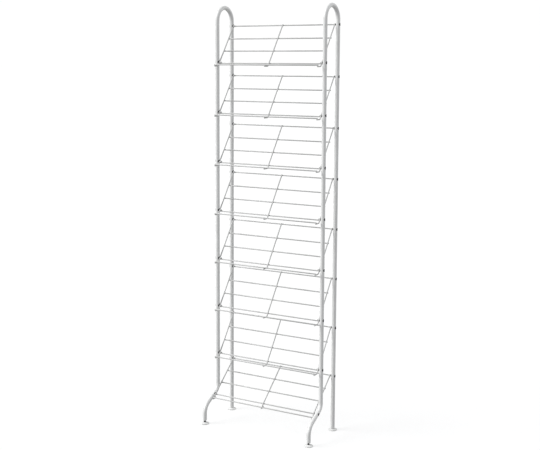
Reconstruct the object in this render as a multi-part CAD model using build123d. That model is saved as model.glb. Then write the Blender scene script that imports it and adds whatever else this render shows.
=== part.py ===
from build123d import *
import os
from math import asin, cos, hypot, radians, sin, tan

# Tiered shoe rack: two tube side frames carry eight sloping wire shelves.
# Millimetres. X runs left to right, the front faces -Y, +Z is up.
# The origin is on the floor, in the middle of the footprint.

os.makedirs("parts", exist_ok=True)

# ---- side frames ---------------------------------------------------------
TUBE_D = 17.0
TUBE_WALL = 1.0
LEG_SPACING_X = 485.0        # left frame to right frame, tube centres
LEG_SPACING_Y = 108.0        # rear leg to front leg, tube centres
FOOT_SPREAD_Y = 208.0        # rear foot to front foot, centres
ARCH_ABOVE_TOP_SHELF = 17.5  # centre of the top arch above the top rear wire
KNEE_SLOPE = 28.0            # slope of the front leg between its two bends, degrees
KNEE_UPPER_R = 35.0
KNEE_LOWER_R = 50.0

# ---- shelves -------------------------------------------------------------
SHELF_COUNT = 8
SHELF_PITCH = 200.0
TOP_SHELF_Z = 1627.0         # rear wire of the top shelf above the floor
LONG_WIRE_D = 5.0
CROSS_WIRE_D = 5.0
WELD_SINK = 0.3              # how far a crossing pair of wires is pressed together
CROSS_WIRE_BEND_R = 8.0
CROSS_WIRE_REAR_OVERHANG = 1.0
CROSS_WIRE_TIP_OVERHANG = 2.5
WIRE_STATIONS = (0.0, 0.347, 0.674, 1.0)  # rear, two middle and front wire, shares of the slope
SLEEVE_D = 6.4
SLEEVE_LENGTH = 10.0
SLEEVE_BORE_D = 4.3

# Side view of a shelf, all measured forward and down from its rear wire.
STANDARD_SHELF = {
    "front_wire": (107.0, 150.6),
    "front_screw": (108.0, 146.6),
    "ledge_run": 37.5,       # front wire to lip wire, forward
    "ledge_drop": 5.5,       # front wire to lip wire, down
}
BOTTOM_SHELF = {
    "front_wire": (139.6, 119.0),
    "front_screw": (139.6, 119.0),
    "ledge_run": 20.0,
    "ledge_drop": 9.0,
}

# ---- fixings -------------------------------------------------------------
SCREW_SHANK_D = 4.0
SCREW_LENGTH = 25.0          # from the rim of the head to the tip
SCREW_HEAD_D = 7.5
SCREW_CONE_H = 1.9           # countersunk part of the head
SCREW_DOME_H = 0.6           # raised part of the head, level with the pad round it
SCREW_SOCKET_AF = 2.5        # hexagon socket, across flats
SCREW_SOCKET_DEPTH = 1.5
SCREW_HOLE_D = 4.6
SEAT_CLEARANCE = 0.05        # all round the countersunk head
OUTER_PAD_D = 11.0           # under the head of a screw
INNER_PAD_D = 14.0           # between leg and shelf
PAD_THICKNESS = 0.6

# ---- feet ----------------------------------------------------------------
DISC_D = 36.0
DISC_RIM_H = 3.5
DISC_HUB_D = 18.0
DISC_H = 7.0
DISC_EDGE_R = 1.2
STEM_D = 8.0
STEM_SEAT_Z = 3.0            # bottom of the stem inside the disc
STEM_LENGTH = 30.0
STEM_CHAMFER = 0.8
REAR_INSERT_Z = 7.3          # underside of the insert flange, rear legs
FRONT_INSERT_Z = 15.0        # the same, front legs, whose feet stand screwed out
INSERT_FLANGE_H = 1.5
INSERT_BODY_D = 14.96        # light press fit in the leg
INSERT_BODY_LENGTH = 25.0
INSERT_BORE_D = 8.2

# ---- places worked out from the dimensions above --------------------------
REAR_Y = FOOT_SPREAD_Y / 2
FRONT_Y = REAR_Y - LEG_SPACING_Y
FRONT_FOOT_Y = -FOOT_SPREAD_Y / 2
LEG_X = LEG_SPACING_X / 2
SHELF_SIDE_X = LEG_X - TUBE_D / 2 - PAD_THICKNESS   # outer side of every shelf
END_CROSS_X = SHELF_SIDE_X - CROSS_WIRE_D / 2
CROSS_OFFSET = (LONG_WIRE_D + CROSS_WIRE_D) / 2 - WELD_SINK
SIDES = {"left": -1, "right": 1}


def shelf_z(number):
    """Height of a shelf's rear wire; shelf 1 is the top one."""
    return TOP_SHELF_Z - (number - 1) * SHELF_PITCH


def shelf_type(number):
    return BOTTOM_SHELF if number == SHELF_COUNT else STANDARD_SHELF


def side_point(number, forward, down):
    """Side-view point (y, z) given forward and down from a shelf's rear wire."""
    return (REAR_Y - forward, shelf_z(number) - down)


def screw_points(number):
    """Side-view points of a shelf's rear and front screws."""
    return side_point(number, 0, 0), side_point(number, *shelf_type(number)["front_screw"])


def x_rod(x0, x1, y, z, diameter):
    """Round rod along X."""
    return extrude(Plane((x0, y, z), z_dir=(1, 0, 0)) * Circle(diameter / 2), amount=x1 - x0)


def bent_rod(x, points, radii, diameter):
    """Round rod in the plane X = x through side-view points, with a true arc at each corner."""
    path = [Vector(x, y, z) for y, z in points]
    start = path[0]
    pieces = []
    for index, radius in enumerate(radii, start=1):
        heading = (path[index] - path[index - 1]).normalized()
        next_heading = (path[index + 1] - path[index]).normalized()
        turn = heading.get_angle(next_heading)
        tangent = radius * tan(radians(turn) / 2)
        bend_start = path[index] - heading * tangent
        if (bend_start - start).length > 0.001:
            pieces.append(straight_rod(start, bend_start, diameter))
        turn_axis = heading.cross(next_heading).normalized()
        centre = bend_start + turn_axis.cross(heading) * radius
        section = Plane(bend_start, z_dir=heading) * Circle(diameter / 2)
        pieces.append(revolve(section, axis=Axis(centre, turn_axis), revolution_arc=turn))
        start = path[index] + next_heading * tangent
    pieces.append(straight_rod(start, path[-1], diameter))
    rod = pieces[0]
    for piece in pieces[1:]:
        rod = rod + piece
    return rod


def straight_rod(start, end, diameter):
    run = end - start
    return extrude(Plane(start, z_dir=run.normalized()) * Circle(diameter / 2), amount=run.length)


# ---- side frame ----------------------------------------------------------
def frame_path(end_extension=0.0):
    """Side-view corners of a side frame, from the rear foot over the arch to the front foot."""
    arch_top = TOP_SHELF_Z + ARCH_ABOVE_TOP_SHELF + LEG_SPACING_Y / 2
    knee_y, knee_z = screw_points(SHELF_COUNT)[1]
    slope = tan(radians(KNEE_SLOPE))
    rear_end = REAR_INSERT_Z + INSERT_FLANGE_H - end_extension
    front_end = FRONT_INSERT_Z + INSERT_FLANGE_H - end_extension
    return [
        (REAR_Y, rear_end),
        (REAR_Y, arch_top),
        (FRONT_Y, arch_top),
        (FRONT_Y, knee_z + (FRONT_Y - knee_y) * slope),
        (FRONT_FOOT_Y, knee_z - (knee_y - FRONT_FOOT_Y) * slope),
        (FRONT_FOOT_Y, front_end),
    ]


def side_frame(side):
    """One bent tube, hollow, drilled for every shelf screw and countersunk on its outer side."""
    x = side * LEG_X
    arch_r = LEG_SPACING_Y / 2
    radii = [arch_r, arch_r, KNEE_UPPER_R, KNEE_LOWER_R]
    tube = bent_rod(x, frame_path(), radii, TUBE_D)
    tube -= bent_rod(x, frame_path(end_extension=1.0), radii, TUBE_D - 2 * TUBE_WALL)
    for number in range(1, SHELF_COUNT + 1):
        for y, z in screw_points(number):
            tube -= screw_hole(side, y, z)
    return tube


# ---- shelf ---------------------------------------------------------------
def end_sleeves(number, bored=True):
    """Threaded sleeves that the screws go into, one at each corner of the shelf."""
    sleeves = []
    for y, z in screw_points(number):
        for side in SIDES.values():
            x0 = side * (SHELF_SIDE_X - SLEEVE_LENGTH / 2) - SLEEVE_LENGTH / 2
            sleeve = x_rod(x0, x0 + SLEEVE_LENGTH, y, z, SLEEVE_D)
            if bored:
                sleeve -= x_rod(x0, x0 + SLEEVE_LENGTH, y, z, SLEEVE_BORE_D)
            sleeves.append(sleeve)
    return sleeves


def long_wire_points(number):
    """Side-view centres of the rear, middle, front and lip wires."""
    shelf = shelf_type(number)
    forward, down = shelf["front_wire"]
    points = [side_point(number, share * forward, share * down) for share in WIRE_STATIONS]
    points.append(side_point(number, forward + shelf["ledge_run"], down + shelf["ledge_drop"]))
    return points


def long_wires(number):
    """Straight wires along X, trimmed where the sleeves are welded on."""
    wires = []
    for y, z in long_wire_points(number):
        wire = x_rod(-SHELF_SIDE_X, SHELF_SIDE_X, y, z, LONG_WIRE_D)
        for sleeve in end_sleeves(number, bored=False):
            wire -= sleeve
        wires.append(wire)
    return wires


def cross_wire(number, x):
    """Wire down the slope over the long wires, then bent forward under the lip wire."""
    shelf = shelf_type(number)
    forward, down = shelf["front_wire"]
    slope_length = hypot(forward, down)
    run_forward, run_down = forward / slope_length, down / slope_length
    over_forward, over_down = run_down * CROSS_OFFSET, -run_forward * CROSS_OFFSET
    start = (
        over_forward - run_forward * CROSS_WIRE_REAR_OVERHANG,
        over_down - run_down * CROSS_WIRE_REAR_OVERHANG,
    )
    ledge_down = down + shelf["ledge_drop"] + CROSS_OFFSET
    corner = (over_forward + (ledge_down - over_down) * run_forward / run_down, ledge_down)
    tip = (forward + shelf["ledge_run"] + CROSS_WIRE_TIP_OVERHANG, ledge_down)
    points = [side_point(number, *point) for point in (start, corner, tip)]
    return bent_rod(x, points, [CROSS_WIRE_BEND_R], CROSS_WIRE_D)


def shelf_pieces(number):
    """Welded pieces of a shelf: five long wires, four sleeves, three cross wires cut round them."""
    sleeves = end_sleeves(number)
    wires = long_wires(number)
    pieces = wires + sleeves
    for x in (-END_CROSS_X, 0.0, END_CROSS_X):
        cross = cross_wire(number, x)
        for y, z in long_wire_points(number):
            cross -= x_rod(-SHELF_SIDE_X, SHELF_SIDE_X, y, z, LONG_WIRE_D)
        if x != 0.0:
            for sleeve in end_sleeves(number, bored=False):
                cross -= sleeve
        pieces.append(cross)
    return pieces


# ---- fixings -------------------------------------------------------------
def on_leg(side, y, z):
    """Place of a shape turned about +X from the leg's outermost line, its seam clear of the leg's own."""
    seam_turn = 45
    return Pos(side * (LEG_X + TUBE_D / 2), y, z) * Rot(0, 0, 0 if side > 0 else 180) * Rot(seam_turn, 0, 0)


def screw(side, y, z):
    """Raised countersunk screw with a hexagon socket, put in from the outer side of the frame."""
    rim_r = SCREW_HEAD_D / 2
    dome_r = (rim_r**2 + SCREW_DOME_H**2) / (2 * SCREW_DOME_H)
    half_turn = asin(rim_r / dome_r) / 2
    on_dome = (SCREW_DOME_H - dome_r * (1 - cos(half_turn)), dome_r * sin(half_turn))
    outline = Polyline(
        (SCREW_DOME_H, 0), (-SCREW_LENGTH, 0), (-SCREW_LENGTH, SCREW_SHANK_D / 2),
        (-SCREW_CONE_H, SCREW_SHANK_D / 2), (0, rim_r),
    )
    outline += ThreePointArc((0, rim_r), on_dome, (SCREW_DOME_H, 0))
    body = revolve(make_face(outline), axis=Axis.X)
    socket_plane = Plane((SCREW_DOME_H, 0, 0), z_dir=(-1, 0, 0))
    socket_section = socket_plane * RegularPolygon(SCREW_SOCKET_AF / 2, 6, major_radius=False)
    return on_leg(side, y, z) * (body - extrude(socket_section, amount=SCREW_SOCKET_DEPTH))


def screw_hole(side, y, z):
    """Space for a screw right through a leg and its pads: a plain hole, countersunk outside."""
    hole_r = SCREW_HOLE_D / 2
    rim_r = SCREW_HEAD_D / 2 + SEAT_CLEARANCE
    cone_slope = SCREW_CONE_H / (SCREW_HEAD_D / 2 - SCREW_SHANK_D / 2)
    outline = Polyline(
        (-SCREW_LENGTH, 0), (-SCREW_LENGTH, hole_r), ((hole_r - rim_r) * cone_slope, hole_r),
        (0, rim_r), (TUBE_WALL, rim_r), (TUBE_WALL, 0),
        close=True,
    )
    return on_leg(side, y, z) * revolve(make_face(outline), axis=Axis.X)


def curved_pad(side, facing, y, z, along):
    """Thin pad bent round a leg; facing is 1 on the leg's +X side, along is the leg's direction."""
    x = side * LEG_X
    centre = Vector(x, y, z)
    diameter = OUTER_PAD_D if facing == side else INNER_PAD_D
    body = x_rod(min(x, x + facing * TUBE_D), max(x, x + facing * TUBE_D), y, z, diameter)
    body &= straight_rod(centre - along * TUBE_D, centre + along * TUBE_D, TUBE_D + 2 * PAD_THICKNESS)
    body -= straight_rod(centre - along * TUBE_D, centre + along * TUBE_D, TUBE_D)
    return body - screw_hole(side, y, z)


def shelf_screws(number):
    return [screw(side, y, z) for side in SIDES.values() for y, z in screw_points(number)]


def shelf_pads(number):
    """Pads of a shelf's screws: one under each head and one between leg and shelf."""
    upright = Vector(0, 0, 1)
    knee = Vector(0, cos(radians(KNEE_SLOPE)), sin(radians(KNEE_SLOPE)))
    rear, front = screw_points(number)
    front_along = knee if number == SHELF_COUNT else upright
    pads = []
    for side in SIDES.values():
        for facing in (side, -side):
            pads.append(curved_pad(side, facing, *rear, upright))
            pads.append(curved_pad(side, facing, *front, front_along))
    return pads


# ---- feet ----------------------------------------------------------------
def foot_disc(x, y):
    """Moulded glide: flat underside, rim, and a cone up to the hub that grips the stem."""
    rim = extrude(Plane((x, y, 0)) * Circle(DISC_D / 2), amount=DISC_RIM_H)
    rim = fillet(rim.edges().sort_by(Axis.Z)[0], DISC_EDGE_R)
    cone_h = DISC_H - DISC_RIM_H
    cone = Pos(x, y, DISC_RIM_H + cone_h / 2) * Cone(DISC_D / 2, DISC_HUB_D / 2, cone_h)
    seat = extrude(Plane((x, y, STEM_SEAT_Z)) * Circle(STEM_D / 2), amount=DISC_H)
    return rim + cone - seat


def foot_stem(x, y):
    stem = extrude(Plane((x, y, STEM_SEAT_Z)) * Circle(STEM_D / 2), amount=STEM_LENGTH)
    return chamfer(stem.edges().sort_by(Axis.Z)[-1], STEM_CHAMFER)


def leg_insert(x, y, flange_z):
    """Threaded plug pressed into the end of a leg, with a flange that covers the cut edge."""
    flange = extrude(Plane((x, y, flange_z)) * Circle(TUBE_D / 2), amount=INSERT_FLANGE_H)
    body_z = flange_z + INSERT_FLANGE_H
    body = extrude(Plane((x, y, body_z)) * Circle(INSERT_BODY_D / 2), amount=INSERT_BODY_LENGTH)
    bore_length = INSERT_FLANGE_H + INSERT_BODY_LENGTH
    bore = extrude(Plane((x, y, flange_z)) * Circle(INSERT_BORE_D / 2), amount=bore_length)
    return flange + body - bore


def write_node(name, pieces):
    """One STEP file for one node; a node of several solids is a compound of them."""
    solids = [solid for piece in pieces for solid in piece.solids()]
    shape = solids[0] if len(solids) == 1 else Compound(children=solids)
    export_step(shape, f"parts/{name}.step")


for side_name, side in SIDES.items():
    write_node(f"{side_name}_side_frame", [side_frame(side)])
    for end_name, foot_y, flange_z in (
        ("rear", REAR_Y, REAR_INSERT_Z),
        ("front", FRONT_FOOT_Y, FRONT_INSERT_Z),
    ):
        foot_name = f"{end_name}_{side_name}"
        write_node(f"foot_disc_{foot_name}", [foot_disc(side * LEG_X, foot_y)])
        write_node(f"foot_stem_{foot_name}", [foot_stem(side * LEG_X, foot_y)])
        write_node(f"leg_insert_{foot_name}", [leg_insert(side * LEG_X, foot_y, flange_z)])

for number in range(1, SHELF_COUNT + 1):
    write_node(f"shelf_{number}", shelf_pieces(number))
    write_node(f"shelf_{number}_screws", shelf_screws(number))
    write_node(f"shelf_{number}_pads", shelf_pads(number))
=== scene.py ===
import random
from math import ceil, cos, hypot, pi, radians, sin, sqrt, tan

import bmesh
import bpy
from mathutils import Matrix, Vector


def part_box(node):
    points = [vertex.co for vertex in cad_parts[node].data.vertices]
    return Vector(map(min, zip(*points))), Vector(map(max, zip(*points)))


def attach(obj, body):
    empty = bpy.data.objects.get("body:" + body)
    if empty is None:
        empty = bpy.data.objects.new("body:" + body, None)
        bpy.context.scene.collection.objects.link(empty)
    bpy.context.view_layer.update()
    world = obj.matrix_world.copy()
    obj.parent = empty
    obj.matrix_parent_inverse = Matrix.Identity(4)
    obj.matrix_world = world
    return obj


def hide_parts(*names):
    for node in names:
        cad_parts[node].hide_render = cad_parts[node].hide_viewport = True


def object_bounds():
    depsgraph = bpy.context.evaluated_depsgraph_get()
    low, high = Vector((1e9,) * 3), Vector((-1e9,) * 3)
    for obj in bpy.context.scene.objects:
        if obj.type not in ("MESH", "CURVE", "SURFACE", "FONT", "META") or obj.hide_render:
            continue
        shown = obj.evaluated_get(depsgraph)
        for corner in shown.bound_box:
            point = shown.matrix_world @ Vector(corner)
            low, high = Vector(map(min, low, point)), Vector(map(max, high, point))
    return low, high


# A tall slim shoe rack: two white tube side frames and eight sloping wire shelves.
# Metres. X runs left to right, the front faces -Y, +Z is up, the floor is Z = 0.

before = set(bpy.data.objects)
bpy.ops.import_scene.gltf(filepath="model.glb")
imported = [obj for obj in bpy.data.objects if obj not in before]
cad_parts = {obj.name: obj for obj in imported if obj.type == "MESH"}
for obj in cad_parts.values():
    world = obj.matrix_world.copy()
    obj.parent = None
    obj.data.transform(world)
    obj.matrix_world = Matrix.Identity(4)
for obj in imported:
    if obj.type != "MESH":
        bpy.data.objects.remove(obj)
CAD_LOW, CAD_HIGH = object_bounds()
MM = 0.001

# The sizes below are the ones that the frame doesn't give. A size named ..._EDGE is that of a broken edge.
# ---- side frames -------------------------------------------------------------
TUBE_WALL = 1.0 * MM
TUBE_HOLLOW_DEPTH = 30.0 * MM    # how far in a leg's open end is hollow
KNEE_SLOPE = radians(28.0)       # slope of the front leg between its two bends
KNEE_UPPER_R = 35.0 * MM
KNEE_LOWER_R = 50.0 * MM

# ---- shelves -----------------------------------------------------------------
LONG_WIRE_R = 2.5 * MM
LONG_WIRE_END_ROUND = 0.4 * MM
CROSS_WIRE_R = 2.5 * MM
CROSS_WIRE_END_ROUND = 0.5 * MM
CROSS_WIRE_BEND_R = 8.0 * MM
CROSS_WIRE_REAR_OVERHANG = 1.0 * MM
CROSS_WIRE_TIP_OVERHANG = 2.5 * MM
WIRE_STATIONS = (0.0, 0.347, 0.674, 1.0)   # rear, two middle and front wire, shares of the slope
SLEEVE_R = 3.2 * MM
SLEEVE_LENGTH = 10.0 * MM
SLEEVE_BORE_R = 2.15 * MM
SLEEVE_EDGE = 0.35 * MM
WELD_SINK = 0.3 * MM             # how far two crossing wires are pressed together
WELD_R = 2.75 * MM               # weld pillow at a crossing
WELD_HALF_HEIGHT = 1.15 * MM
WELD_LOBES = 0.05                # its outline's swelling, as a share of its radius
BUTT_WELD_LENGTH = 2.4 * MM      # weld at a sleeve's inner end, along the wire
BUTT_WELD_ROOT = 0.6 * MM        # part of it inside the sleeve
BUTT_WELD_SHOULDER = 0.1 * MM    # step down from the sleeve's outside

# Side view of a shelf, forward and down from its rear wire.
STANDARD_SHELF = {"front_wire": (107.0 * MM, 150.6 * MM), "ledge_run": 37.5 * MM, "ledge_drop": 5.5 * MM}
BOTTOM_SHELF = {"front_wire": (139.6 * MM, 119.0 * MM), "ledge_run": 20.0 * MM, "ledge_drop": 9.0 * MM}

# ---- fixings -----------------------------------------------------------------
SCREW_HEAD_R = 3.75 * MM
SCREW_CONE_H = 1.9 * MM          # countersunk part of the head
SCREW_DOME_H = 0.6 * MM          # raised part of the head, level with the pad round it
SCREW_SHANK_R = 2.0 * MM
SCREW_LENGTH = 25.0 * MM
SCREW_TIP = 0.5 * MM             # bevel at the tip
SCREW_EDGE = 0.15 * MM
SCREW_SOCKET_R = 1.25 * MM       # half of the hexagon socket's width across flats
SCREW_SOCKET_DEPTH = 1.5 * MM
OUTER_PAD_R = 5.5 * MM           # under the head of a screw
INNER_PAD_R = 7.0 * MM           # between leg and shelf
PAD_THICKNESS = 0.6 * MM
PAD_HOLE_R = 2.3 * MM
PAD_EDGE = 0.2 * MM

# ---- feet --------------------------------------------------------------------
DISC_RIM_H = 3.5 * MM
DISC_HUB_R = 9.0 * MM
DISC_RECESS = 0.6 * MM           # hollow of the underside, inside the ring that stands on the floor
DISC_RECESS_SLANT = 0.5 * MM     # run of the recess's sloping side
DISC_RING_W = 4.0 * MM
DISC_LAND_W = 2.0 * MM           # from the rim's outside to the inner edge of the level band
DISC_CONE_FOOT = (0.15 * MM, 0.4 * MM)      # up and in from the inner edge of the level band
DISC_CONE_TOP = (0.5 * MM, 0.8 * MM)        # down and out from the hub's lower edge
DISC_LOWER_ROUND = 1.2 * MM
DISC_UPPER_ROUND = 0.9 * MM
DISC_HUB_EDGE_H = 0.6 * MM       # upright edge round the top of the hub
DISC_HUB_SHOULDER = (0.25 * MM, 0.1 * MM)   # down and in, where the hub's edge starts to round off
DISC_HUB_TOP_INSET = 0.4 * MM
DISC_SOCKET_MOUTH = (0.4 * MM, 0.5 * MM)    # depth and widening of the stem's socket at its mouth
STEM_THREAD_PITCH = 1.25 * MM
STEM_THREAD_DEPTH = 0.55 * MM
STEM_GROOVE_SHARE = 0.42         # half of the groove's width, as a share of the pitch
STEM_CHAMFER_W = 0.9 * MM        # bevel at the top of the stem
STEM_CHAMFER_H = 1.0 * MM
INSERT_FLANGE_H = 1.5 * MM
INSERT_FLANGE_EDGE = 0.4 * MM
INSERT_BORE_R = 4.1 * MM
INSERT_BORE_EDGE = 0.3 * MM
INSERT_RIBS = 5
INSERT_RIB_SHARE = 0.3           # part of each rib's stretch that comes before its groove
INSERT_GROOVE_DEPTH = 0.6 * MM   # groove between two ribs
INSERT_GROOVE_LENGTH = 2.0 * MM
INSERT_BARB = 0.2 * MM           # length of a groove's steep end
FIT_GAP = 0.05 * MM              # between a plug or stem and its hole

# ---- mesh resolution ---------------------------------------------------------
TUBE_SIDES = 48
WIRE_SIDES = 24
WELD_SIDES = 20
WELD_ROWS = 6
SCREW_SIDES = 36
PAD_SIDES = 48
DISC_SIDES = 72
STEM_SIDES = 32
STEM_LEVELS_PER_TURN = 8
INSERT_SIDES = 48
BEND_STEP = radians(4.0)
SAME_POINT = 0.001 * MM          # points of a path nearer than this are one
ROUND_END = ((0.0, 0.8), (0.3, 0.35), (1.0, 0.0))   # (inset, narrowing), shares of an end's rounding
SHARP_ANGLE = radians(38.0)      # edges that turn by more are shaded sharp

# ---- camera ------------------------------------------------------------------
CAMERA_AZIMUTH = radians(30.205)
CAMERA_ELEVATION = radians(7.685)
CAMERA_ROLL = radians(-0.286)
CAMERA_DISTANCE = 4.1134
CAMERA_LENS = 66.916             # lens and sensor in millimetres
CAMERA_SENSOR = 36.0
CAMERA_SHIFT_Y = -0.0473
CAMERA_AIM_OFFSET = Vector((-0.0573, 0.104, 0.0710))   # from the middle of the object's box

# ---- paint and light ---------------------------------------------------------
FRAME_WHITE = 0.82
WIRE_WHITE_WITH_PAINTED_SHADE = 0.55                # painted shade: the legs' white paint, darkened because the thin wires look greyer than the legs
FLOOR_SIZE = 400.0
FLOOR_TONE = 0.30                # paper as the camera sees it, lit by the lights
FLOOR_GLOW = 0.68                # added for the camera alone, which brings the paper to white
FLOOR_BOUNCE = 0.30              # paper as it throws light back on the rack
SKY_SEEN = 1.02                  # surroundings as the camera sees them
SKY_LIGHT = 0.60                 # surroundings as they light the rack
SKY_TINT = (0.97, 0.985, 1.0, 1.0)
KEY_SUN = 2.65
KEY_AZIMUTH = radians(-52.0)
KEY_ELEVATION = radians(35.0)
RIM_SUN = 0.6
RIM_AZIMUTH = radians(140.0)
RIM_ELEVATION = radians(15.0)
SUN_SPREAD = radians(40.0)


# ==== places read from the frame ================================================
def centre_of(node):
    low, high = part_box(node)
    return (low + high) / 2


def base_of(node):
    """Middle of the underside of a node's box."""
    centre = centre_of(node)
    return Vector((centre.x, centre.y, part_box(node)[0].z))


def radius_of(node):
    low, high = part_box(node)
    return (high.x - low.x) / 2


def height_of(node):
    low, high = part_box(node)
    return high.z - low.z


SHELF_NUMBERS = range(1, sum(node.endswith("_screws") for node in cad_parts) + 1)
SIDES = {"left": -1, "right": 1}
LEG_X = centre_of("right_side_frame").x
TUBE_R = radius_of("right_side_frame")
SHELF_SIDE_X = LEG_X - TUBE_R - PAD_THICKNESS
END_CROSS_X = SHELF_SIDE_X - CROSS_WIRE_R
CROSS_OFFSET = LONG_WIRE_R + CROSS_WIRE_R - WELD_SINK   # between the centres of two crossing wires
ON_AXIS = 0.5 * MM               # side-view points nearer than this to a screw are on its axis


def screw_points(number):
    """Side-view points (y, z) of a shelf's rear and front screws."""
    low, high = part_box(f"shelf_{number}_screws")
    return (high.y - SCREW_HEAD_R, high.z - SCREW_HEAD_R), (low.y + SCREW_HEAD_R, low.z + SCREW_HEAD_R)


REAR_Y = screw_points(1)[0][0]
FRONT_Y = screw_points(1)[1][0]
FRONT_FOOT_Y = centre_of("foot_disc_front_right").y
ARCH_R = (REAR_Y - FRONT_Y) / 2
ARCH_TOP_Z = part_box("right_side_frame")[1].z - TUBE_R


def shelf_type(number):
    return BOTTOM_SHELF if number == SHELF_NUMBERS[-1] else STANDARD_SHELF


def side_point(number, forward, down):
    """Side-view point (y, z) forward and down from a shelf's rear wire."""
    y, z = screw_points(number)[0]
    return (y - forward, z - down)


# ==== mesh building =============================================================
def rounded_path(x, corners, radii):
    """Points along a line through side-view corners, with a true arc at each inner corner."""
    path = [Vector((x, y, z)) for y, z in corners]
    points = [path[0]]
    for index, radius in enumerate(radii, start=1):
        heading = (path[index] - path[index - 1]).normalized()
        next_heading = (path[index + 1] - path[index]).normalized()
        turn = heading.angle(next_heading)
        bend_start = path[index] - heading * radius * tan(turn / 2)
        turn_axis = heading.cross(next_heading).normalized()
        centre = bend_start + turn_axis.cross(heading) * radius
        steps = max(4, ceil(turn / BEND_STEP))
        for step in range(steps + 1):
            turned = Matrix.Rotation(turn * step / steps, 3, turn_axis) @ (bend_start - centre)
            if (centre + turned - points[-1]).length > SAME_POINT:
                points.append(centre + turned)
    points.append(path[-1])
    return points


def headings(points):
    """Unit direction of a path at each of its points."""
    found = []
    for index in range(len(points)):
        before = points[max(index - 1, 0)]
        after = points[min(index + 1, len(points) - 1)]
        found.append((after - before).normalized())
    return found


def add_ring(mesh, centre, across, up, radius, sides):
    """A ring of vertices; radius is a number or a function of the angle."""
    ring = []
    for index in range(sides):
        angle = 2 * pi * index / sides
        reach = radius(angle) if callable(radius) else radius
        ring.append(mesh.verts.new(centre + (across * cos(angle) + up * sin(angle)) * reach))
    return ring


def bridge(mesh, first, second, material=0):
    """Joins two rings with a band of faces."""
    count = len(first)
    for index in range(count):
        follow = (index + 1) % count
        face = mesh.faces.new((first[index], first[follow], second[follow], second[index]))
        face.smooth = True
        face.material_index = material


def cap(mesh, ring, centre, outward=True, material=0):
    """Closes a ring with a fan round its centre."""
    tip = mesh.verts.new(centre)
    count = len(ring)
    for index in range(count):
        follow = (index + 1) % count
        corners = (ring[index], ring[follow], tip) if outward else (ring[follow], ring[index], tip)
        face = mesh.faces.new(corners)
        face.smooth = True
        face.material_index = material


def add_skin(mesh, rings, across, sides):
    """Closed skin over (centre, heading, radius) rings along a path."""
    built = []
    for centre, heading, radius in rings:
        up = heading.cross(across).normalized()
        built.append(add_ring(mesh, centre, across, up, radius, sides))
    for first, second in zip(built, built[1:]):
        bridge(mesh, first, second)
    cap(mesh, built[0], rings[0][0], outward=False)
    cap(mesh, built[-1], rings[-1][0])


def add_rod(mesh, points, radius, sides, end_round):
    """Solid round rod along a path, its two cut ends rounded off."""
    ahead = headings(points)
    across = Vector((1, 0, 0)) if abs(ahead[0].x) < 0.5 else Vector((0, 1, 0))
    start = []
    end = []
    for inset, narrowing in ROUND_END:
        end_radius = radius - end_round * narrowing
        start.append((points[0] + ahead[0] * end_round * inset, ahead[0], end_radius))
        end.insert(0, (points[-1] - ahead[-1] * end_round * inset, ahead[-1], end_radius))
    middle = [(point, heading, radius) for point, heading in zip(points[1:-1], ahead[1:-1])]
    add_skin(mesh, start + middle + end, across, sides)


def add_turned(mesh, base, axis, profile, sides, closed=False, material=0):
    """Turned shape: profile is (distance along axis, radius) pairs; a zero radius closes an end."""
    across = Vector((0, 0, 1)) if abs(axis.z) < 0.5 else Vector((1, 0, 0))
    up = axis.cross(across).normalized()
    rings = []
    for along, radius in profile:
        centre = base + axis * along
        at_axis = not callable(radius) and radius == 0
        rings.append((centre, None if at_axis else add_ring(mesh, centre, across, up, radius, sides)))
    pairs = list(zip(rings, rings[1:]))
    if closed:
        pairs.append((rings[-1], rings[0]))
    for (start, first), (end, second) in pairs:
        if first is None:
            cap(mesh, second, start, outward=False, material=material)
        elif second is None:
            cap(mesh, first, end, material=material)
        else:
            bridge(mesh, first, second, material)


def hexagon(half_width):
    """Radius of a hexagon at an angle, for a ring that takes its shape."""
    def radius(angle):
        return half_width / cos((angle + pi / 6) % (pi / 3) - pi / 6)
    return radius


def finish_piece(name, mesh, body, nodes, materials):
    """Turns a bmesh into a piece that rides on a body and stands for CAD nodes."""
    bmesh.ops.recalc_face_normals(mesh, faces=mesh.faces)
    data = bpy.data.meshes.new(name)
    mesh.to_mesh(data)
    mesh.free()
    for material in materials:
        data.materials.append(material)
    piece = bpy.data.objects.new(name, data)
    bpy.context.scene.collection.objects.link(piece)
    data.set_sharp_from_angle(angle=SHARP_ANGLE)
    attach(piece, body)
    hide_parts(*nodes)


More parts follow.
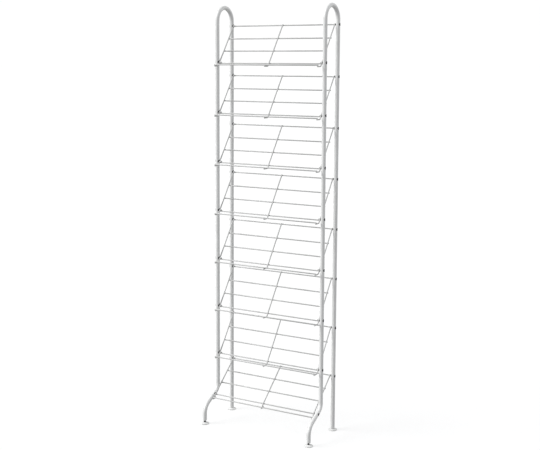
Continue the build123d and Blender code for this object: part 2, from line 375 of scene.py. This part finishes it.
# ==== materials =================================================================
class Nodes:
    """Shorthand for building a material's node tree round one Principled shader."""

    def __init__(self, name):
        self.material = bpy.data.materials.new(name)
        self.material.use_nodes = True
        self.tree = self.material.node_tree
        self.shader = self.tree.nodes["Principled BSDF"]
        self.place = self.add("ShaderNodeTexCoord").outputs["Object"]

    def add(self, kind, **settings):
        node = self.tree.nodes.new(kind)
        for key, value in settings.items():
            setattr(node, key, value)
        return node

    def link(self, start, end):
        self.tree.links.new(start, end)

    def drive(self, socket, output):
        """Lets a node's output set one of the shader's sockets."""
        self.link(output, self.shader.inputs[socket])

    def noise(self, scale, detail=3.0, roughness=0.5):
        noise = self.add("ShaderNodeTexNoise")
        noise.inputs["Scale"].default_value = scale
        noise.inputs["Detail"].default_value = detail
        noise.inputs["Roughness"].default_value = roughness
        self.link(self.place, noise.inputs["Vector"])
        return noise.outputs["Fac"]

    def colour(self, red, green, blue):
        """One colour, as a side of a mix."""
        colour = self.add("ShaderNodeRGB")
        colour.outputs["Color"].default_value = (red, green, blue, 1)
        return colour.outputs["Color"]

    def ramp(self, factor, low, high):
        """Colour that runs between two colours over the middle of a factor's range."""
        ramp = self.add("ShaderNodeValToRGB")
        ramp.color_ramp.elements[0].position = 0.35
        ramp.color_ramp.elements[1].position = 0.65
        ramp.color_ramp.elements[0].color = (*low, 1)
        ramp.color_ramp.elements[1].color = (*high, 1)
        self.link(factor, ramp.inputs["Fac"])
        return ramp.outputs["Color"]

    def spread(self, factor, low, high, start=0.3, end=0.7):
        """A number that goes from low to high as a factor goes from start to end."""
        spread = self.add("ShaderNodeMapRange")
        spread.inputs["From Min"].default_value = start
        spread.inputs["From Max"].default_value = end
        spread.inputs["To Min"].default_value = low
        spread.inputs["To Max"].default_value = high
        self.link(factor, spread.inputs["Value"])
        return spread.outputs["Result"]

    def bump(self, height, distance, strength, under=None):
        """Surface relief, laid over the relief under it if there is one."""
        bump = self.add("ShaderNodeBump")
        bump.inputs["Distance"].default_value = distance
        bump.inputs["Strength"].default_value = strength
        self.link(height, bump.inputs["Height"])
        if under is not None:
            self.link(under, bump.inputs["Normal"])
        return bump.outputs["Normal"]

    def mix_colour(self, factor, first, second):
        mix = self.add("ShaderNodeMix", data_type="RGBA")
        self.link(factor, mix.inputs["Factor"])
        self.link(first, mix.inputs["A"])
        self.link(second, mix.inputs["B"])
        return mix.outputs["Result"]


def powder_coat(name, white, peel_scale, peel_depth):
    """White powder coat: faint orange peel, slow changes of tone and gloss, a few specks."""
    nodes = Nodes(name)
    tone = nodes.ramp(
        nodes.noise(14.0, detail=4.0),
        low=(white - 0.02, white - 0.02, white - 0.03),
        high=(white + 0.02, white + 0.02, white + 0.015),
    )
    speck = nodes.spread(nodes.noise(3200.0, detail=2.0), 0.0, 1.0, start=0.7, end=0.78)
    dust = nodes.colour(white - 0.1, white - 0.1, white - 0.12)
    nodes.drive("Base Color", nodes.mix_colour(speck, tone, dust))
    nodes.drive("Roughness", nodes.spread(nodes.noise(60.0), 0.34, 0.46))
    nodes.shader.inputs["Coat Weight"].default_value = 0.12
    nodes.shader.inputs["Coat Roughness"].default_value = 0.2
    peel_noise = nodes.noise(peel_scale, detail=2.0, roughness=0.4)
    grain_noise = nodes.noise(peel_scale * 5, detail=2.0, roughness=0.6)
    peel = nodes.bump(peel_noise, distance=peel_depth, strength=0.6)
    grain = nodes.bump(grain_noise, distance=peel_depth * 0.25, strength=0.5, under=peel)
    nodes.drive("Normal", grain)
    return nodes.material


def blackened_steel(name):
    """Black oxide finish, a little worn to bare steel on its edges."""
    nodes = Nodes(name)
    dark = nodes.ramp(nodes.noise(700.0, detail=4.0), low=(0.018, 0.018, 0.019), high=(0.04, 0.04, 0.042))
    pointiness = nodes.add("ShaderNodeNewGeometry").outputs["Pointiness"]
    worn = nodes.add("ShaderNodeMath", operation="MULTIPLY")
    nodes.link(nodes.spread(pointiness, 0.0, 1.0, start=0.53, end=0.62), worn.inputs[0])
    nodes.link(nodes.spread(nodes.noise(1500.0), 0.0, 0.8, start=0.4, end=0.7), worn.inputs[1])
    bare = nodes.colour(0.22, 0.22, 0.22)
    nodes.drive("Base Color", nodes.mix_colour(worn.outputs["Value"], dark, bare))
    nodes.shader.inputs["Metallic"].default_value = 0.7
    nodes.drive("Roughness", nodes.spread(nodes.noise(900.0), 0.34, 0.5))
    nodes.drive("Normal", nodes.bump(nodes.noise(2600.0), distance=0.02 * MM, strength=0.5))
    return nodes.material


def moulded_plastic(name, low, high, roughness, grain_scale):
    """Injection-moulded plastic: an even colour with fine grain and soft sink marks."""
    nodes = Nodes(name)
    nodes.drive("Base Color", nodes.ramp(nodes.noise(120.0), low, high))
    nodes.drive("Roughness", nodes.spread(nodes.noise(350.0), roughness - 0.05, roughness + 0.06))
    nodes.shader.inputs["IOR"].default_value = 1.49
    sink = nodes.bump(nodes.noise(90.0, detail=1.0), distance=0.12 * MM, strength=0.35)
    grain_noise = nodes.noise(grain_scale, detail=2.0, roughness=0.6)
    grain = nodes.bump(grain_noise, distance=0.03 * MM, strength=0.5, under=sink)
    nodes.drive("Normal", grain)
    return nodes.material


def floor_paper(name):
    """Seamless studio paper: its glow is for the camera alone, and other rays meet plain grey paper."""
    nodes = Nodes(name)
    tone = nodes.ramp(nodes.noise(3.0), low=(FLOOR_TONE,) * 3, high=(FLOOR_TONE + 0.01,) * 3)
    nodes.drive("Base Color", tone)
    nodes.shader.inputs["Roughness"].default_value = 0.85
    nodes.shader.inputs["Specular IOR Level"].default_value = 0.2
    nodes.shader.inputs["Emission Color"].default_value = (1, 1, 1, 1)
    nodes.shader.inputs["Emission Strength"].default_value = FLOOR_GLOW
    fibres = nodes.noise(900.0, detail=2.0)
    nodes.drive("Normal", nodes.bump(fibres, distance=0.1 * MM, strength=0.2))
    bounce = nodes.add("ShaderNodeBsdfDiffuse")
    bounce.inputs["Color"].default_value = (FLOOR_BOUNCE, FLOOR_BOUNCE, FLOOR_BOUNCE, 1)
    mix = nodes.add("ShaderNodeMixShader")
    nodes.link(nodes.add("ShaderNodeLightPath").outputs["Is Camera Ray"], mix.inputs["Fac"])
    nodes.link(bounce.outputs["BSDF"], mix.inputs[1])
    nodes.link(nodes.shader.outputs["BSDF"], mix.inputs[2])
    nodes.link(mix.outputs["Shader"], nodes.tree.nodes["Material Output"].inputs["Surface"])
    return nodes.material


FRAME_COAT = powder_coat("frame_powder_coat", FRAME_WHITE, peel_scale=520.0, peel_depth=0.06 * MM)
# The wire and weld coats take the darker wire white, which carries painted shade.
WIRE_COAT = powder_coat("wire_powder_coat", WIRE_WHITE_WITH_PAINTED_SHADE, peel_scale=800.0, peel_depth=0.05 * MM)
WELD_COAT = powder_coat("weld_powder_coat", WIRE_WHITE_WITH_PAINTED_SHADE, peel_scale=1300.0, peel_depth=0.12 * MM)
SCREW_STEEL = blackened_steel("screw_black_oxide")
STEM_STEEL = blackened_steel("stem_black_oxide")
PAD_NYLON = moulded_plastic(
    "pad_nylon", low=(0.02, 0.02, 0.021), high=(0.034, 0.034, 0.035), roughness=0.55, grain_scale=2500.0)
FOOT_PLASTIC = moulded_plastic(
    "foot_plastic", low=(0.78, 0.78, 0.77), high=(0.82, 0.82, 0.81), roughness=0.45, grain_scale=1800.0)
INSERT_PLASTIC = moulded_plastic(
    "insert_plastic", low=(0.66, 0.66, 0.65), high=(0.71, 0.71, 0.7), roughness=0.5, grain_scale=1800.0)


# ==== side frames ===============================================================
def frame_path(side_name):
    """Centre line of a side frame from the rear leg's end over the arch to the front leg's end."""
    knee_y, knee_z = screw_points(SHELF_NUMBERS[-1])[1]
    rear_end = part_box(f"leg_insert_rear_{side_name}")[0].z + INSERT_FLANGE_H
    front_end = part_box(f"leg_insert_front_{side_name}")[0].z + INSERT_FLANGE_H
    corners = [
        (REAR_Y, rear_end),
        (REAR_Y, ARCH_TOP_Z),
        (FRONT_Y, ARCH_TOP_Z),
        (FRONT_Y, knee_z + (FRONT_Y - knee_y) * tan(KNEE_SLOPE)),
        (FRONT_FOOT_Y, knee_z - (knee_y - FRONT_FOOT_Y) * tan(KNEE_SLOPE)),
        (FRONT_FOOT_Y, front_end),
    ]
    return rounded_path(SIDES[side_name] * LEG_X, corners, [ARCH_R, ARCH_R, KNEE_UPPER_R, KNEE_LOWER_R])


def open_end(end, inward):
    """Centres and radii from the inside of a tube's open end, over its cut wall, to the outside."""
    inner = TUBE_R - TUBE_WALL
    edge = TUBE_WALL * 0.3
    return [
        (end + inward * TUBE_HOLLOW_DEPTH, inner),
        (end + inward * edge, inner),
        (end, inner + edge),
        (end, TUBE_R - edge),
        (end + inward * edge, TUBE_R),
    ]


def side_frame(side_name):
    """Bent tube, open at its two ends, where its cut wall shows."""
    points = frame_path(side_name)
    ahead = headings(points)
    rings = [(centre, ahead[0], radius) for centre, radius in open_end(points[0], ahead[0])]
    rings += [(centre, heading, TUBE_R) for centre, heading in zip(points[1:-1], ahead[1:-1])]
    rings += [(centre, ahead[-1], radius) for centre, radius in reversed(open_end(points[-1], -ahead[-1]))]
    mesh = bmesh.new()
    add_skin(mesh, rings, Vector((1, 0, 0)), TUBE_SIDES)
    finish_piece(f"{side_name}_frame_tube", mesh, "rack", [f"{side_name}_side_frame"],
                 [FRAME_COAT])


# ==== shelves ===================================================================
def slope_directions(number):
    """Unit (forward, down) pairs along a shelf's slope and out of its upper side."""
    forward, down = shelf_type(number)["front_wire"]
    length = hypot(forward, down)
    along = (forward / length, down / length)
    over = (along[1], -along[0])
    return along, over


def long_wire_points(number):
    """Side-view centres of the rear, middle, front and lip wires."""
    shelf = shelf_type(number)
    forward, down = shelf["front_wire"]
    points = [side_point(number, share * forward, share * down) for share in WIRE_STATIONS]
    points.append(side_point(number, forward + shelf["ledge_run"], down + shelf["ledge_drop"]))
    return points


def cross_wire_corners(number):
    """Side-view corners of a cross wire: over the long wires of the slope, under the lip wire."""
    shelf = shelf_type(number)
    forward, down = shelf["front_wire"]
    along, over = slope_directions(number)
    over_forward = over[0] * CROSS_OFFSET
    over_down = over[1] * CROSS_OFFSET
    start = (
        over_forward - along[0] * CROSS_WIRE_REAR_OVERHANG,
        over_down - along[1] * CROSS_WIRE_REAR_OVERHANG,
    )
    ledge_down = down + shelf["ledge_drop"] + CROSS_OFFSET
    corner = (over_forward + (ledge_down - over_down) * along[0] / along[1], ledge_down)
    tip = (forward + shelf["ledge_run"] + CROSS_WIRE_TIP_OVERHANG, ledge_down)
    return [side_point(number, *point) for point in (start, corner, tip)]


def on_screw(number, y, z):
    """True if a side-view point lies on the axis of one of the shelf's screws."""
    return any(hypot(y - screw_y, z - screw_z) < ON_AXIS for screw_y, screw_z in screw_points(number))


def add_weld(mesh, centre, normal, along, rng):
    """Small pillow of metal squeezed out round the contact of two crossing wires."""
    across = Vector((1, 0, 0))
    wide = WELD_R * rng.uniform(0.94, 1.06)
    long = WELD_R * rng.uniform(0.94, 1.06)
    high = WELD_HALF_HEIGHT * rng.uniform(0.9, 1.1)
    lobe_turn = rng.uniform(0, 2 * pi)
    rings = []
    for row in range(1, WELD_ROWS):
        level = pi * row / WELD_ROWS
        ring = []
        for index in range(WELD_SIDES):
            angle = 2 * pi * index / WELD_SIDES
            swell = 1 + WELD_LOBES * sin(3 * angle + lobe_turn)
            offset = across * cos(angle) * wide + along * sin(angle) * long
            ring.append(mesh.verts.new(centre + offset * sin(level) * swell + normal * cos(level) * high))
        rings.append(ring)
    for first, second in zip(rings, rings[1:]):
        bridge(mesh, first, second, material=1)
    cap(mesh, rings[0], centre + normal * high, outward=False, material=1)
    cap(mesh, rings[-1], centre - normal * high, material=1)


def add_sleeve(mesh, side, y, z):
    """Threaded sleeve at a corner of a shelf, its edges broken, its bore open towards the leg."""
    base = Vector((side * SHELF_SIDE_X, y, z))
    profile = [
        (SLEEVE_EDGE, SLEEVE_R),
        (0.0, SLEEVE_R - SLEEVE_EDGE),
        (0.0, SLEEVE_BORE_R + SLEEVE_EDGE),
        (SLEEVE_EDGE, SLEEVE_BORE_R),
        (SLEEVE_LENGTH - SLEEVE_EDGE, SLEEVE_BORE_R),
        (SLEEVE_LENGTH, SLEEVE_BORE_R + SLEEVE_EDGE),
        (SLEEVE_LENGTH, SLEEVE_R - SLEEVE_EDGE),
        (SLEEVE_LENGTH - SLEEVE_EDGE, SLEEVE_R),
    ]
    add_turned(mesh, base, Vector((-side, 0, 0)), profile, WIRE_SIDES, closed=True)


def add_butt_weld(mesh, side, y, z):
    """Ring of weld where a long wire meets the inner end of a sleeve."""
    base = Vector((side * (SHELF_SIDE_X - SLEEVE_LENGTH), y, z))
    shoulder_r = SLEEVE_R - BUTT_WELD_SHOULDER
    profile = [(-BUTT_WELD_ROOT, 0.0), (-BUTT_WELD_ROOT, shoulder_r), (0.0, shoulder_r)]
    steps = 5
    for step in range(1, steps + 1):
        share = step / steps
        radius = LONG_WIRE_R + (shoulder_r - LONG_WIRE_R) * (1 - share) ** 2
        profile.append((BUTT_WELD_LENGTH * share, radius))
    profile.append((BUTT_WELD_LENGTH, 0.0))
    add_turned(mesh, base, Vector((-side, 0, 0)), profile, WIRE_SIDES, material=1)


def add_long_wires(mesh, number):
    """The five straight wires along X; one on a screw's axis ends at the sleeves."""
    for y, z in long_wire_points(number):
        end_x = SHELF_SIDE_X - (SLEEVE_LENGTH if on_screw(number, y, z) else 0)
        ends = [Vector((-end_x, y, z)), Vector((end_x, y, z))]
        add_rod(mesh, ends, LONG_WIRE_R, WIRE_SIDES, LONG_WIRE_END_ROUND)


def add_cross_wire(mesh, number, x, rng):
    """A bent cross wire, with a weld at each long wire that it crosses."""
    along, over = slope_directions(number)
    slope_normal = Vector((0, -over[0], -over[1]))
    slope_along = Vector((0, -along[0], -along[1]))
    contact_depth = LONG_WIRE_R - WELD_SINK / 2
    path = rounded_path(x, cross_wire_corners(number), [CROSS_WIRE_BEND_R])
    add_rod(mesh, path, CROSS_WIRE_R, WIRE_SIDES, CROSS_WIRE_END_ROUND)
    *slope_wires, lip_wire = long_wire_points(number)
    for y, z in slope_wires:
        add_weld(mesh, Vector((x, y, z)) + slope_normal * contact_depth, slope_normal, slope_along, rng)
    under = Vector((0, 0, -1))
    add_weld(mesh, Vector((x, *lip_wire)) + under * contact_depth, under, Vector((0, -1, 0)), rng)


def add_corners(mesh, number):
    """The four sleeves, and the welds of the long wires that end at them."""
    for side in SIDES.values():
        for y, z in screw_points(number):
            add_sleeve(mesh, side, y, z)
        for y, z in long_wire_points(number):
            if on_screw(number, y, z):
                add_butt_weld(mesh, side, y, z)


def shelf(number):
    """Welded wire shelf: five long wires, three cross wires, four sleeves and their welds."""
    mesh = bmesh.new()
    rng = random.Random(number)
    add_long_wires(mesh, number)
    for x in (-END_CROSS_X, 0.0, END_CROSS_X):
        add_cross_wire(mesh, number, x, rng)
    add_corners(mesh, number)
    finish_piece(f"shelf_{number}_wirework", mesh, "rack", [f"shelf_{number}"],
                 [WIRE_COAT, WELD_COAT])


# ==== fixings ===================================================================
def add_screw(mesh, side, y, z):
    """Raised countersunk socket screw through the leg, its head level with the pad outside."""
    base = Vector((side * (LEG_X + TUBE_R), y, z))
    profile = [
        (-SCREW_LENGTH, 0.0),
        (-SCREW_LENGTH, SCREW_SHANK_R - SCREW_TIP),
        (-SCREW_LENGTH + SCREW_TIP, SCREW_SHANK_R),
        (-SCREW_CONE_H, SCREW_SHANK_R),
        (-SCREW_EDGE, SCREW_HEAD_R - SCREW_EDGE),
        (0.0, SCREW_HEAD_R),
    ]
    socket_rim_r = SCREW_SOCKET_R + SCREW_EDGE
    steps = 5
    for step in range(1, steps + 1):
        radius = SCREW_HEAD_R + (socket_rim_r + SCREW_EDGE - SCREW_HEAD_R) * step / steps
        profile.append((SCREW_DOME_H * (1 - (radius / SCREW_HEAD_R) ** 2), radius))
    top = profile[-1][0]
    socket_floor = SCREW_DOME_H - SCREW_SOCKET_DEPTH
    profile += [
        (top, hexagon(socket_rim_r)),
        (top - SCREW_EDGE, hexagon(SCREW_SOCKET_R)),
        (socket_floor, hexagon(SCREW_SOCKET_R)),
        (socket_floor - 2 * SCREW_EDGE, 0.0),
    ]
    add_turned(mesh, base, Vector((side, 0, 0)), profile, SCREW_SIDES)


def add_pad(mesh, side, facing, y, z, leg_slope):
    """Thin pad bent round the leg; facing is 1 on the leg's +X side."""
    centre = Vector((side * LEG_X, y, z))
    leg_across = Vector((0, sin(leg_slope), -cos(leg_slope)))
    outside = facing == side
    pad_r = OUTER_PAD_R if outside else INNER_PAD_R
    hole_r = SCREW_HEAD_R if outside else PAD_HOLE_R
    halfway_r = pad_r * 0.7
    outline = [
        (PAD_HOLE_R, 0.0),
        (halfway_r, 0.0),
        (pad_r, 0.0),
        (pad_r, PAD_THICKNESS - PAD_EDGE),
        (pad_r - 0.3 * PAD_EDGE, PAD_THICKNESS - 0.3 * PAD_EDGE),
        (pad_r - PAD_EDGE, PAD_THICKNESS),
        (halfway_r, PAD_THICKNESS),
        (hole_r + PAD_EDGE / 2, PAD_THICKNESS),
        (hole_r, PAD_THICKNESS - PAD_EDGE),
    ]
    rings = []
    for radius, height in outline:
        ring = []
        for index in range(PAD_SIDES):
            angle = 2 * pi * index / PAD_SIDES
            offset = Vector((0, cos(angle), sin(angle))) * radius
            reach = sqrt((TUBE_R + height) ** 2 - offset.dot(leg_across) ** 2)
            ring.append(mesh.verts.new(centre + offset + Vector((facing * reach, 0, 0))))
        rings.append(ring)
    for first, second in zip(rings, rings[1:] + rings[:1]):
        bridge(mesh, first, second)


def fixings(number):
    """A shelf's four screws as one piece, and its eight pads as another."""
    screws = bmesh.new()
    pads = bmesh.new()
    rear, front = screw_points(number)
    upright = pi / 2
    front_slope = KNEE_SLOPE if number == SHELF_NUMBERS[-1] else upright
    for side in SIDES.values():
        add_screw(screws, side, *rear)
        add_screw(screws, side, *front)
        for facing in (side, -side):
            add_pad(pads, side, facing, *rear, upright)
            add_pad(pads, side, facing, *front, front_slope)
    finish_piece(f"shelf_{number}_countersunk_screws", screws, "rack", [f"shelf_{number}_screws"],
                 [SCREW_STEEL])
    finish_piece(f"shelf_{number}_curved_pads", pads, "rack", [f"shelf_{number}_pads"],
                 [PAD_NYLON])


# ==== feet ======================================================================
def disc_underside(disc_r):
    """Profile from the middle of a glide disc's underside to the start of its upright rim."""
    profile = [
        (DISC_RECESS, 0.0),
        (DISC_RECESS, disc_r - DISC_RING_W - DISC_RECESS_SLANT),
        (0.0, disc_r - DISC_RING_W),
        (0.0, disc_r - DISC_LOWER_ROUND),
    ]
    steps = 5
    for step in range(1, steps + 1):
        turn = pi / 2 * step / steps
        profile.append((DISC_LOWER_ROUND * (1 - cos(turn)), disc_r - DISC_LOWER_ROUND * (1 - sin(turn))))
    return profile


def disc_top(disc_r, height):
    """Profile from the upright rim over its round edge and up the conical top to the hub's edge."""
    round_start = DISC_RIM_H - DISC_UPPER_ROUND
    profile = [(round_start, disc_r)]
    steps = 4
    for step in range(1, steps + 1):
        turn = pi / 2 * step / steps
        profile.append((
            round_start + DISC_UPPER_ROUND * sin(turn),
            disc_r - DISC_UPPER_ROUND * (1 - cos(turn)),
        ))
    land_r = disc_r - DISC_LAND_W
    foot_up, foot_in = DISC_CONE_FOOT
    top_down, top_out = DISC_CONE_TOP
    shoulder_down, shoulder_in = DISC_HUB_SHOULDER
    profile += [
        (DISC_RIM_H, land_r),
        (DISC_RIM_H + foot_up, land_r - foot_in),
        (height - DISC_HUB_EDGE_H - top_down, DISC_HUB_R + top_out),
        (height - DISC_HUB_EDGE_H, DISC_HUB_R),
        (height - shoulder_down, DISC_HUB_R - shoulder_in),
        (height, DISC_HUB_R - DISC_HUB_TOP_INSET),
    ]
    return profile


def foot_disc(foot, body):
    """Moulded glide: rounded rim, conical top, and a hub with a socket for the stem."""
    disc = f"foot_disc_{foot}"
    stem = f"foot_stem_{foot}"
    base = base_of(disc)
    height = height_of(disc)
    socket_r = radius_of(stem) + FIT_GAP
    socket_floor = base_of(stem).z - base.z
    mouth_depth, mouth_widening = DISC_SOCKET_MOUTH
    socket = [
        (height, radius_of(stem) + mouth_widening),
        (height - mouth_depth, socket_r),
        (socket_floor, socket_r),
        (socket_floor, 0.0),
    ]
    profile = disc_underside(radius_of(disc)) + disc_top(radius_of(disc), height) + socket
    mesh = bmesh.new()
    add_turned(mesh, base, Vector((0, 0, 1)), profile, DISC_SIDES)
    finish_piece(f"glide_disc_{foot}", mesh, body, [disc], [FOOT_PLASTIC])


def foot_stem(foot, body):
    """Threaded stem: a screw thread cut into a round bar, with a chamfered top."""
    stem = f"foot_stem_{foot}"
    radius = radius_of(stem)
    length = height_of(stem)
    levels = int(length / STEM_THREAD_PITCH * STEM_LEVELS_PER_TURN)

    def thread(height):
        """Radius of the thread at an angle, for the ring at a height."""
        def at(angle):
            phase = (height / STEM_THREAD_PITCH - angle / (2 * pi)) % 1.0
            groove = max(0.0, 1 - abs(phase - 0.5) / STEM_GROOVE_SHARE)
            taper = min(1.0, (length - height) / STEM_CHAMFER_H) * STEM_CHAMFER_W
            return min(radius - STEM_THREAD_DEPTH * groove, radius - STEM_CHAMFER_W + taper)
        return at

    profile = [(0.0, 0.0)]
    for level in range(levels + 1):
        height = length * level / levels
        profile.append((height, thread(height)))
    profile.append((length, 0.0))
    mesh = bmesh.new()
    add_turned(mesh, base_of(stem), Vector((0, 0, 1)), profile, STEM_SIDES)
    finish_piece(f"glide_stem_{foot}", mesh, body, [stem], [STEM_STEEL])


def leg_insert(foot):
    """Plug in the leg's end: rounded flange under the cut tube, ribbed body inside it."""
    insert = f"leg_insert_{foot}"
    flange_r = radius_of(insert)
    length = height_of(insert)
    body_r = TUBE_R - TUBE_WALL - FIT_GAP
    corner = 0.3 * INSERT_FLANGE_EDGE
    profile = [
        (0.0, INSERT_BORE_R + INSERT_BORE_EDGE),
        (0.0, flange_r - INSERT_FLANGE_EDGE),
        (corner, flange_r - corner),
        (INSERT_FLANGE_EDGE, flange_r),
        (INSERT_FLANGE_H, flange_r),
        (INSERT_FLANGE_H, body_r),
    ]
    for rib in range(INSERT_RIBS):
        start = INSERT_FLANGE_H + (length - INSERT_FLANGE_H) * (rib + INSERT_RIB_SHARE) / INSERT_RIBS
        profile += [
            (start, body_r),
            (start + INSERT_GROOVE_DEPTH, body_r - INSERT_GROOVE_DEPTH),
            (start + INSERT_GROOVE_LENGTH, body_r - INSERT_GROOVE_DEPTH),
            (start + INSERT_GROOVE_LENGTH + INSERT_BARB, body_r),
        ]
    profile += [(length, body_r), (length, INSERT_BORE_R), (INSERT_BORE_EDGE, INSERT_BORE_R)]
    mesh = bmesh.new()
    add_turned(mesh, base_of(insert), Vector((0, 0, 1)), profile, INSERT_SIDES, closed=True)
    finish_piece(f"leg_plug_{foot}", mesh, "rack", [insert], [INSERT_PLASTIC])


for side_name in SIDES:
    side_frame(side_name)
    for end_name in ("rear", "front"):
        foot_name = f"{end_name}_{side_name}"
        foot_disc(foot_name, f"{foot_name}_foot")
        foot_stem(foot_name, f"{foot_name}_foot")
        leg_insert(foot_name)

for shelf_number in SHELF_NUMBERS:
    shelf(shelf_number)
    fixings(shelf_number)


# ==== studio ====================================================================
def make_floor():
    mesh = bmesh.new()
    bmesh.ops.create_grid(mesh, x_segments=4, y_segments=4, size=FLOOR_SIZE / 2)
    data = bpy.data.meshes.new("studio_floor")
    mesh.to_mesh(data)
    mesh.free()
    data.materials.append(floor_paper("studio_paper"))
    floor = bpy.data.objects.new("studio_floor", data)
    bpy.context.scene.collection.objects.link(floor)
    floor.location.z = CAD_LOW.z


def outward(azimuth, elevation):
    """Unit vector towards a camera or light; azimuth 0 is in front and grows towards +X."""
    return Vector((sin(azimuth) * cos(elevation), -cos(azimuth) * cos(elevation), sin(elevation)))


def soft_sun(name, azimuth, elevation, power):
    """Distant light whose wide disc makes its shadows soft."""
    data = bpy.data.lights.new(name, "SUN")
    data.energy = power
    data.angle = SUN_SPREAD
    light = bpy.data.objects.new(name, data)
    bpy.context.scene.collection.objects.link(light)
    light.rotation_mode = "QUATERNION"
    light.rotation_quaternion = outward(azimuth, elevation).to_track_quat("Z", "Y")


def make_world():
    """Even pale surroundings that the camera sees as white paper and that light the rack more weakly."""
    world = bpy.data.worlds.new("studio")
    bpy.context.scene.world = world
    world.use_nodes = True
    tree = world.node_tree
    tree.nodes.clear()
    seen = tree.nodes.new("ShaderNodeBackground")
    seen.inputs["Color"].default_value = (1, 1, 1, 1)
    seen.inputs["Strength"].default_value = SKY_SEEN
    light = tree.nodes.new("ShaderNodeBackground")
    light.inputs["Color"].default_value = SKY_TINT
    light.inputs["Strength"].default_value = SKY_LIGHT
    rays = tree.nodes.new("ShaderNodeLightPath")
    mix = tree.nodes.new("ShaderNodeMixShader")
    output = tree.nodes.new("ShaderNodeOutputWorld")
    tree.links.new(rays.outputs["Is Camera Ray"], mix.inputs["Fac"])
    tree.links.new(light.outputs["Background"], mix.inputs[1])
    tree.links.new(seen.outputs["Background"], mix.inputs[2])
    tree.links.new(mix.outputs["Shader"], output.inputs["Surface"])


def make_camera():
    back = outward(CAMERA_AZIMUTH, CAMERA_ELEVATION)
    level_right = Vector((cos(CAMERA_AZIMUTH), sin(CAMERA_AZIMUTH), 0))
    level_up = back.cross(level_right)
    right = level_right * cos(CAMERA_ROLL) - level_up * sin(CAMERA_ROLL)
    up = level_right * sin(CAMERA_ROLL) + level_up * cos(CAMERA_ROLL)
    data = bpy.data.cameras.new("camera")
    data.lens = CAMERA_LENS
    data.sensor_width = CAMERA_SENSOR
    data.shift_y = CAMERA_SHIFT_Y
    camera = bpy.data.objects.new("camera", data)
    bpy.context.scene.collection.objects.link(camera)
    place = Matrix((right, up, back)).transposed().to_4x4()
    place.translation = (CAD_LOW + CAD_HIGH) / 2 + CAMERA_AIM_OFFSET + back * CAMERA_DISTANCE
    camera.matrix_world = place
    bpy.context.scene.camera = camera


make_floor()
make_world()
make_camera()
soft_sun("key", KEY_AZIMUTH, KEY_ELEVATION, KEY_SUN)
soft_sun("rim", RIM_AZIMUTH, RIM_ELEVATION, RIM_SUN)
bpy.context.scene.view_settings.view_transform = "Standard"
